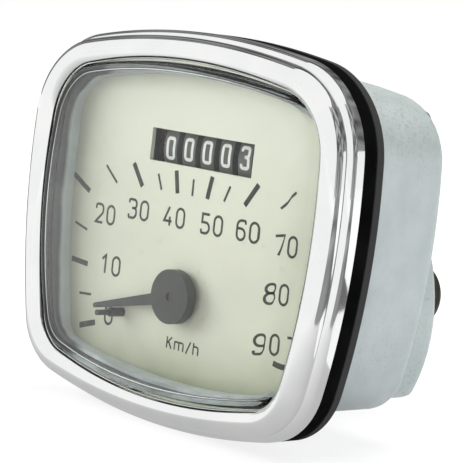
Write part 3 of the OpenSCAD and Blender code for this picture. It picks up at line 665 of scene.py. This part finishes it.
# The two fixing studs
STUD_X = 15.0
STUD_Z = 34.0
STUD_HEAD_R = 3.5
STUD_SHANK_R = 2.5
STUD_THREAD_R = 2.0
STUD_TIP_R = 1.5
STUD_FRONT = 22.6
STUD_HEAD_BACK = 23.8
STUD_SHANK_BACK = 25.7
STUD_END = 39.7
STUD_PITCH = 0.7
STUD_THREAD_DEPTH = 0.42
STUD_THREAD_START = STUD_SHANK_BACK + 0.2
STUD_THREAD_STOP = STUD_END - 0.5
STUD_SIDES = 48

for side, x in (("left", -STUD_X), ("right", STUD_X)):
    loops = turned([
        (STUD_HEAD_R, STUD_FRONT),
        (STUD_HEAD_R, STUD_HEAD_BACK),
        (STUD_SHANK_R, STUD_HEAD_BACK),
        (STUD_SHANK_R, STUD_SHANK_BACK),
        (STUD_THREAD_R, STUD_SHANK_BACK),
    ], STUD_SIDES, x, STUD_Z)
    loops += threaded(STUD_THREAD_R, STUD_THREAD_DEPTH, STUD_PITCH, STUD_THREAD_START, STUD_THREAD_STOP,
                      STUD_SIDES, x, STUD_Z)
    loops += turned([(STUD_TIP_R, STUD_END)], STUD_SIDES, x, STUD_Z)
    piece("stud_" + side + "_threaded", *skin(loops), "steel", "case", "steel", ["stud_" + side])

# Printed signs in a box of width 1 and height 1: each line's corners, its round ones, whether it is closed
ALL_ROUND = {0, 1, 2, 3}
SIX = [(1, 0.82), (1, 1), (0, 1), (0, 0), (1, 0), (1, 0.58), (0, 0.58)]
NINE = [(1 - x, 1 - z) for x, z in SIX]
SIGNS = {
    "0": [([(0, 0), (1, 0), (1, 1), (0, 1)], ALL_ROUND, True)],
    "1": [([(0.12, 0.76), (0.6, 1), (0.6, 0)], set(), False)],
    "2": [([(0, 0.74), (0, 1), (1, 1), (1, 0.55), (0, 0), (1, 0)], {1, 2, 3}, False)],
    "3": [([(0, 0.8), (0, 1), (1, 1), (1, 0.54), (0.4, 0.54)], {1, 2, 3}, False),
          ([(0.4, 0.54), (1, 0.54), (1, 0), (0, 0), (0, 0.2)], {1, 2, 3}, False)],
    "4": [([(0.62, 1), (0, 0.24), (1, 0.24)], set(), False),
          ([(0.74, 0.48), (0.74, 0)], set(), False)],
    "5": [([(0.95, 1), (0.06, 1), (0.06, 0.56), (1, 0.56), (1, 0), (0, 0), (0, 0.2)], {3, 4, 5}, False)],
    "6": [(SIX, {1, 2, 3, 4, 5}, False)],
    "7": [([(0, 1), (1, 1), (0.36, 0)], set(), False)],
    "8": [([(0, 0), (1, 0), (1, 0.54), (0, 0.54)], ALL_ROUND, True),
          ([(0.06, 0.54), (0.94, 0.54), (0.94, 1), (0.06, 1)], ALL_ROUND, True)],
    "9": [(NINE, {1, 2, 3, 4, 5}, False)],
    "/": [([(0, -0.08), (1, 1)], set(), False)],
    "K": [([(0, 0), (0, 1)], set(), False),
          ([(1, 1), (0, 0.4)], set(), False),
          ([(0.32, 0.59), (1, 0)], set(), False)],
    "m": [([(0, 0), (0, 0.74)], set(), False),
          ([(0, 0.7), (0.5, 0.7), (0.5, 0)], {1}, False),
          ([(0.5, 0.7), (1, 0.7), (1, 0)], {1}, False)],
    "h": [([(0, 0), (0, 1)], set(), False),
          ([(0, 0.7), (1, 0.7), (1, 0)], {1}, False)],
}
LONGEST_STEP = 0.4
CORNER_STEPS = 8


def round_corner(before, corner, after, radius):
    """The points of a rounded corner, which takes up at most half of the lines beside it."""
    u, v = (before - corner).normalized(), (after - corner).normalized()
    half = u.angle(v) / 2
    cut = min(radius / math.tan(half), 0.5 * (before - corner).length, 0.5 * (after - corner).length)
    middle = corner + (u + v).normalized() * (cut * math.tan(half) / math.sin(half))
    first, last = corner + u * cut - middle, corner + v * cut - middle
    sweep = first.angle_signed(last)
    turns = [-sweep * k / CORNER_STEPS for k in range(CORNER_STEPS + 1)]
    return [middle + Matrix.Rotation(turn, 2) @ first for turn in turns]


def drawn(corners, soft, closed, radius):
    """The points of a line with its soft corners rounded and no step longer than LONGEST_STEP."""
    line = []
    for i, corner in enumerate(corners):
        if i in soft:
            line += round_corner(corners[i - 1], corner, corners[(i + 1) % len(corners)], radius)
        else:
            line.append(corner)
    if closed:
        line.append(line[0])
    points = [line[0]]
    for p, q in zip(line, line[1:]):
        if (q - p).length < 1e-6:
            continue
        steps = max(1, math.ceil((q - p).length / LONGEST_STEP))
        points += [p + (q - p) * k / steps for k in range(1, steps + 1)]
    return points


class Ink:
    """Thin raised strokes gathered into one mesh. lay turns (x, z, height) into a place."""

    def __init__(self, lay):
        self.lay = lay
        self.verts = []
        self.faces = []

    def stroke(self, line, pen, closed=False):
        """One line of a given width. At each point it has two edges, each with a top and a foot."""
        count = len(line)
        start = len(self.verts)
        for i, p in enumerate(line):
            before = line[i - 1] if i else (line[-2] if closed else None)
            after = line[i + 1] if i + 1 < count else (line[1] if closed else None)
            going = ((after - p) if after is not None else (p - before)).normalized()
            coming = (p - before).normalized() if before is not None else going
            along = (coming + going).normalized()
            across = Vector((-along.y, along.x))
            grow = 0.5 * pen / max(0.5, across.dot(Vector((-going.y, going.x))))
            for side in (1, -1):
                edge = p + across * (side * grow)
                self.verts.append(self.lay(edge.x, edge.y, 1.0))
                self.verts.append(self.lay(edge.x, edge.y, 0.0))
        for a in range(start, start + 4 * (count - 1), 4):
            b = a + 4
            self.faces += [(a, b, b + 2, a + 2), (a + 1, a + 3, b + 3, b + 1)]
            self.faces += [(a, a + 1, b + 1, b), (a + 2, b + 2, b + 3, a + 3)]
        if not closed:
            end = start + 4 * (count - 1)
            self.faces += [(start, start + 2, start + 3, start + 1), (end, end + 1, end + 3, end + 2)]

    def sign(self, sign, x, z, width, height, pen, radius):
        """One sign, its lower left corner at x, z, measured over the ink."""
        move = Vector((x + pen / 2, z + pen / 2))
        for shares, soft, closed in SIGNS[sign]:
            corners = [Vector((u * (width - pen), v * (height - pen))) for u, v in shares]
            self.stroke([p + move for p in drawn(corners, soft, closed, radius)], pen, closed)


# The dial's print: the scale, its numbers and the unit
DIAL_TURN = math.radians(0.75)
INK_FOOT = 0.01
INK_HEIGHT = 0.04
RIGHT_END_X = 17.0
RIGHT_END_RUN = 4.0
RIGHT_END_OUT = 1.5
RIGHT_END_UP = 1.0
WIDE_TICK = 0.95
THIN_TICK = 0.45
# Outer and inner ends of the marks from the left end of the scale to its middle, wide and thin by turns
TICKS = [
    ((-26.3, -9.2), (-22.2, -8.2)), ((-27.4, -3.7), (-24.1, -3.5)), ((-30.5, 2.2), (-25.9, 1.8)),
    ((-30.5, 8.9), (-27.0, 7.9)), ((-32.1, 17.5), (-27.3, 14.9)), ((-23.3, 20.1), (-20.0, 17.3)),
    ((-15.9, 21.3), (-13.1, 17.5)), ((-9.2, 20.2), (-8.0, 17.5)), ((-4.6, 21.3), (-3.8, 17.4)),
    ((0.0, 20.3), (0.0, 17.4)),
]
NUMBERS = [
    ("0", -18.7, -6.3), ("10", -19.6, 2.5), ("20", -22.4, 11.35), ("30", -13.5, 13.3), ("40", -4.0, 13.25),
    ("50", 5.6, 13.2), ("60", 14.4, 13.3), ("70", 22.2, 11.2), ("80", 21.4, 3.2), ("90", 20.5, -5.2),
]
NUMBER_SIGN = dict(width=2.4, height=3.7, pen=0.45, radius=1.1)
NUMBER_GAP = 0.75
UNIT = [("K", 1.5), ("m", 2.5), ("/", 1.3), ("h", 1.5)]
UNIT_LEFT = -2.7
UNIT_FOOT = -9.4
UNIT_SIGN = dict(height=2.2, pen=0.3, radius=0.4)
UNIT_GAP = 0.5


def on_dial(x, z, height):
    """A place on the dial. The print's right end stands further out and higher than its left end."""
    c, s = math.cos(DIAL_TURN), math.sin(DIAL_TURN)
    right = min(1.0, max(0.0, (x - RIGHT_END_X) / RIGHT_END_RUN))
    x, z = x + RIGHT_END_OUT * right, z + RIGHT_END_UP * right
    return at(x * c - z * s, INK_FOOT - INK_HEIGHT * height, x * s + z * c)


dial = Ink(on_dial)
for i, ends in enumerate(TICKS):
    in_middle = ends[0][0] == 0.0
    for side in ((1,) if in_middle else (1, -1)):
        line = [Vector((side * x, z)) for x, z in ends]
        dial.stroke(line, WIDE_TICK if i % 2 == 0 else THIN_TICK)
for text, x, z in NUMBERS:
    step = NUMBER_SIGN["width"] + NUMBER_GAP
    left = x - (step * len(text) - NUMBER_GAP) / 2
    for k, sign in enumerate(text):
        dial.sign(sign, left + step * k, z - NUMBER_SIGN["height"] / 2, **NUMBER_SIGN)
left = UNIT_LEFT
for sign, width in UNIT:
    dial.sign(sign, left, UNIT_FOOT, width, **UNIT_SIGN)
    left += width + UNIT_GAP
piece("dial_print", dial.verts, dial.faces, "dial_print", "case", "needle_paint", sharp=60.0)

# The odometer's numbers, wrapped round each drum
DRUM_R = 8.8
DRUM_Y = 10.0
DRUM_Z = 25.1
DRUM_1_X = 10.4
DRUM_STEP = 4.7
DRUM_INK_HEIGHT = 0.035
DRUM_SIGN = dict(width=2.3, height=4.08, pen=0.6, radius=0.5)
# The digit that each drum shows, from the right, and how far it has gone past the middle of the window
READING = [(3, 0.24), (0, 0.05), (0, 0.0), (0, -0.08), (0, -0.35)]


def drum_numbers(number, shown, shift):
    middle = DRUM_1_X - DRUM_STEP * (number - 1)

    def on_drum(across, round_drum, height):
        r = DRUM_R - INK_FOOT + DRUM_INK_HEIGHT * height
        turn = (round_drum + shift) / DRUM_R
        return at(middle + across, DRUM_Y - r * math.cos(turn), DRUM_Z + r * math.sin(turn))

    digits = Ink(on_drum)
    for k in range(10):
        lift = (k - shown) % 10 * math.tau / 10 * DRUM_R
        digits.sign(str(k), -DRUM_SIGN["width"] / 2, lift - DRUM_SIGN["height"] / 2, **DRUM_SIGN)
    name = "drum_%d_numbers" % number
    body = "drum_unit_%d" % number
    piece(name, digits.verts, digits.faces, "digit_white", body, "drum_plastic", sharp=60.0)


for number, (shown, shift) in enumerate(READING, 1):
    drum_numbers(number, shown, shift)

# CAD nodes that stay: joined corners, smooth curves with sharp creases, and the material of their slot
JOIN_WITHIN = 2e-6
CREASE_ANGLE = math.radians(24.0)


def shading_group():
    tree = bpy.data.node_groups.new("smooth_shading", "GeometryNodeTree")
    for way in ("INPUT", "OUTPUT"):
        tree.interface.new_socket("Geometry", in_out=way, socket_type="NodeSocketGeometry")
    graph = Graph(tree)
    start = graph.add("NodeGroupInput").outputs[0]
    values = {"Geometry": start, "Distance": JOIN_WITHIN}
    joined = graph.add("GeometryNodeMergeByDistance", values).outputs[0]
    angle = graph.add("GeometryNodeInputMeshEdgeAngle").outputs["Unsigned Angle"]
    values = {0: angle, 1: CREASE_ANGLE}
    steep = graph.add("FunctionNodeCompare", values, operation="GREATER_THAN").outputs[0]
    values = {"Mesh": joined, "Remove Custom": True, "Edge Sharpness": steep, "Face Sharpness": False}
    shaded = graph.add("GeometryNodeSetMeshNormal", values, mode="SHARPNESS").outputs[0]
    graph.add("NodeGroupOutput", {0: shaded})
    return tree


SHADING = shading_group()
for node in nodes.values():
    slot = node.data.materials[0].name.split(".")[0]
    node.data.materials[0] = FINISHES[slot]
    node.modifiers.new("smooth_shading", "NODES").node_group = SHADING

# Stage, in metres: a plain pale floor, a white surround, soft lamps, and cards that only mirrors see
STAGE_MIDDLE = at(0, 0, 12)
FLOOR_DROP = 0.0002
FLOOR_HALF = 3.0
LOW_CARD_DROP = 0.00015
SIDE_CARD_DROP = 0.0001
CARD_AWAY = 1.2
CARD_ACROSS = 24
CARD_UP = 12


def seen_directly(graph):
    """1 for rays that come from the camera, a mirror or glass."""
    path = graph.add("ShaderNodeLightPath").outputs
    seen = path["Is Camera Ray"]
    for name in ("Is Glossy Ray", "Is Transmission Ray"):
        seen = graph.maths("MAXIMUM", seen, path[name])
    return seen


def stage_piece(name, verts, faces, material):
    mesh = bpy.data.meshes.new(name)
    mesh.from_pydata(verts, [], faces)
    mesh.materials.append(material)
    obj = bpy.data.objects.new(name, mesh)
    scene.collection.objects.link(obj)
    return obj


def lying(drop, *corners):
    """The points and the face of a sheet that lies so far below the part's lowest point."""
    return [(x, y, cad_low[2] - drop) for x, y in corners], [(0, 1, 2, 3)]


def build_floor():
    """A floor that is seen nearly white, a little greyer near the object, and keeps its shadow."""
    look = Finish("floor")
    lit = look.add("ShaderNodeBsdfDiffuse", {"Color": grey(0.8)})
    shadow = look.add("ShaderNodeBsdfDiffuse", {"Color": grey(0.2)})
    glow = look.add("ShaderNodeEmission", {"Strength": look.span(look.distance(), 0.10, 0.45, 0.84, 1.0)})
    white = look.add("ShaderNodeAddShader", {0: glow.outputs[0], 1: shadow.outputs[0]})
    look.show(look.choose(seen_directly(look), lit.outputs[0], white.outputs[0]))
    h = FLOOR_HALF
    stage_piece("floor", *lying(FLOOR_DROP, (-h, -h), (h, -h), (h, h), (-h, h)), look.material)


def build_world():
    """A soft cool surround that is seen as white."""
    world = bpy.data.worlds.new("studio")
    world.use_nodes = True
    scene.world = world
    graph = Graph(world.node_tree)
    graph.tree.nodes.clear()
    soft = graph.add("ShaderNodeBackground", {"Color": rgb(0.93, 0.96, 1.0), "Strength": 0.36})
    white = graph.add("ShaderNodeBackground", {"Color": grey(1.0)})
    both = graph.choose(seen_directly(graph), soft.outputs[0], white.outputs[0])
    graph.add("ShaderNodeOutputWorld", {"Surface": both})


def area_lamp(name, towards, distance, size, power):
    """A square lamp that stands in the given direction from the dial and faces it."""
    lamp = bpy.data.lights.new(name, "AREA")
    lamp.size = size
    lamp.energy = power
    obj = bpy.data.objects.new(name, lamp)
    scene.collection.objects.link(obj)
    way = Vector(towards).normalized()
    obj.location = STAGE_MIDDLE + way * distance
    obj.rotation_euler = way.to_track_quat("Z", "Y").to_euler()
    obj.visible_glossy = False
    obj.visible_transmission = False


def card_material(name, dark, light, reach):
    """A soft glow, cloudy between two greys or, where a reach is given, lighter with the distance."""
    look = Finish(name)
    if reach:
        share = look.span(look.distance(), *reach)
    else:
        share = look.span(look.noise(5.0, 1.0), 0.35, 0.65)
    glow = look.add("ShaderNodeEmission", {"Color": look.mix(share, grey(dark), grey(light))})
    look.show(glow.outputs[0])
    return look.material


def grey_card(name, verts, faces, dark, light, reach=None):
    """A card of the studio that only mirrors see."""
    obj = stage_piece(name, verts, faces, card_material(name, dark, light, reach))
    obj.visible_camera = False
    obj.visible_diffuse = False
    obj.visible_transmission = False
    obj.visible_shadow = False


def curved(headings, heights):
    """The points and faces of a curved card. Headings in degrees: 0 to the front, 90 to the right."""
    verts = []
    for j in range(CARD_UP + 1):
        height = math.radians(heights[0] + (heights[1] - heights[0]) * j / CARD_UP)
        for i in range(CARD_ACROSS + 1):
            heading = math.radians(headings[0] + (headings[1] - headings[0]) * i / CARD_ACROSS)
            flat = Vector((math.sin(heading), -math.cos(heading), 0.0))
            way = flat * math.cos(height) + Vector((0.0, 0.0, math.sin(height)))
            verts.append(STAGE_MIDDLE + way * CARD_AWAY)
    row = CARD_ACROSS + 1
    starts = [j * row + i for j in range(CARD_UP) for i in range(CARD_ACROSS)]
    return verts, [(a, a + 1, a + row + 1, a + row) for a in starts]


build_floor()
build_world()
area_lamp("key", (-0.80, -0.55, 0.30), distance=0.6, size=0.5, power=4.6)
area_lamp("fill", (0.95, -0.15, 0.35), distance=0.8, size=0.5, power=1.6)
area_lamp("top", (0.08, 0.30, 0.95), distance=0.8, size=0.6, power=5.6)
grey_card("card_back", *curved((172.0, 278.0), (2.0, 62.0)), dark=0.05, light=0.30)
grey_card("card_right", *curved((66.0, 122.0), (-1.0, 60.0)), dark=0.10, light=0.60)
grey_card("card_corner", *curved((118.0, 176.0), (12.0, 60.0)), dark=0.05, light=0.30)
# card_low stands for a grey table in mirrors, darker close to the object: painted shade of the floor there.
grey_card("card_low", *lying(LOW_CARD_DROP, (-1.2, -1.5), (0.6, -1.5), (0.6, -0.02), (-1.2, -0.02)),
          dark=0.52, light=1.0, reach=(0.058, 0.15))
grey_card("card_side", *lying(SIDE_CARD_DROP, (0.10, -0.08), (1.8, -0.35), (1.8, 0.90), (0.10, 0.03)),
          dark=0.12, light=0.42)
grey_card("card_left", *lying(SIDE_CARD_DROP, (-0.06, -0.055), (-1.8, -0.20), (-1.8, 1.90), (-0.06, 0.06)),
          dark=0.15, light=0.50)

# Camera: its place in millimetres, its angles in degrees, its focal length in pixels of the image
CAMERA_PLACE = at(251.016, -230.858, 46.297)
AZIMUTH = math.radians(46.125)
ELEVATION = math.radians(5.7105)
ROLL_ANGLE = math.radians(6.553)
FOCAL_PIXELS = 1992.05
IMAGE_WIDTH = 471.0
SENSOR_WIDTH = 36.0


def build_camera():
    flat = Vector((math.sin(AZIMUTH), -math.cos(AZIMUTH), 0.0))
    back = flat * math.cos(ELEVATION) + Vector((0.0, 0.0, math.sin(ELEVATION)))
    level = Vector((0, 0, 1)).cross(back).normalized()
    right = level * math.cos(ROLL_ANGLE) + back.cross(level) * math.sin(ROLL_ANGLE)
    data = bpy.data.cameras.new("camera")
    data.sensor_fit = "HORIZONTAL"
    data.sensor_width = SENSOR_WIDTH
    data.lens = SENSOR_WIDTH * FOCAL_PIXELS / IMAGE_WIDTH
    data.clip_start = 0.01
    obj = bpy.data.objects.new("camera", data)
    scene.collection.objects.link(obj)
    turn = Matrix((right, back.cross(right), back)).transposed()
    obj.matrix_world = Matrix.Translation(CAMERA_PLACE) @ turn.to_4x4()
    scene.camera = obj


build_camera()
